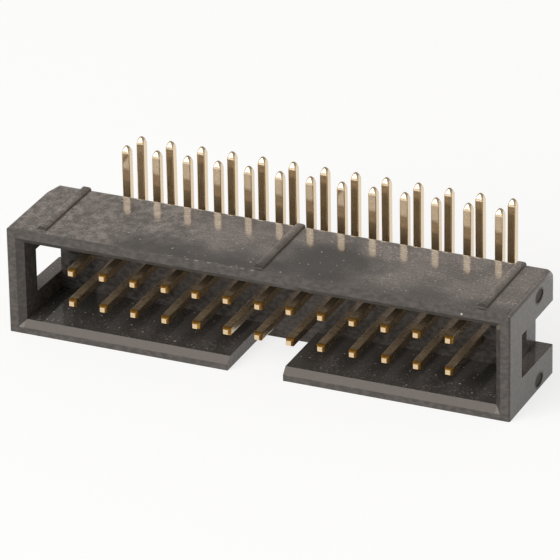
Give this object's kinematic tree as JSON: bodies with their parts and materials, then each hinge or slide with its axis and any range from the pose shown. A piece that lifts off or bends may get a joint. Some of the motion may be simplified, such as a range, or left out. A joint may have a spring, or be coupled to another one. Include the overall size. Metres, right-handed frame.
{
  "type": "right-angle box header",
  "caption": "Shrouded box header with two rows of right-angle square pins, a keyed open mouth and stand-off ribs on its board side.",
  "frame": {"origin": "on the resting face, under the middle of the whole part with its tails", "axes": "+X along the rows of pins, -Y out of the mouth, +Z along the tails towards the board"},
  "size_m": [0.0406, 0.0138, 0.0116],
  "materials": {
    "moulded_plastic": "glass-filled black plastic, satin, as moulded",
    "plated_wire": "gold plated, smooth"
  },
  "bodies": {
    "root": {"housing": "moulded_plastic", "upper_pin_01": "plated_wire", "upper_pin_02": "plated_wire", "upper_pin_03": "plated_wire", "upper_pin_04": "plated_wire", "upper_pin_05": "plated_wire", "upper_pin_06": "plated_wire", "upper_pin_07": "plated_wire", "upper_pin_08": "plated_wire", "upper_pin_09": "plated_wire", "upper_pin_10": "plated_wire", "upper_pin_11": "plated_wire", "upper_pin_12": "plated_wire", "upper_pin_13": "plated_wire", "lower_pin_01": "plated_wire", "lower_pin_02": "plated_wire", "lower_pin_03": "plated_wire", "lower_pin_04": "plated_wire", "lower_pin_05": "plated_wire", "lower_pin_06": "plated_wire", "lower_pin_07": "plated_wire", "lower_pin_08": "plated_wire", "lower_pin_09": "plated_wire", "lower_pin_10": "plated_wire", "lower_pin_11": "plated_wire", "lower_pin_12": "plated_wire", "lower_pin_13": "plated_wire"}
  },
  "joints": []
}
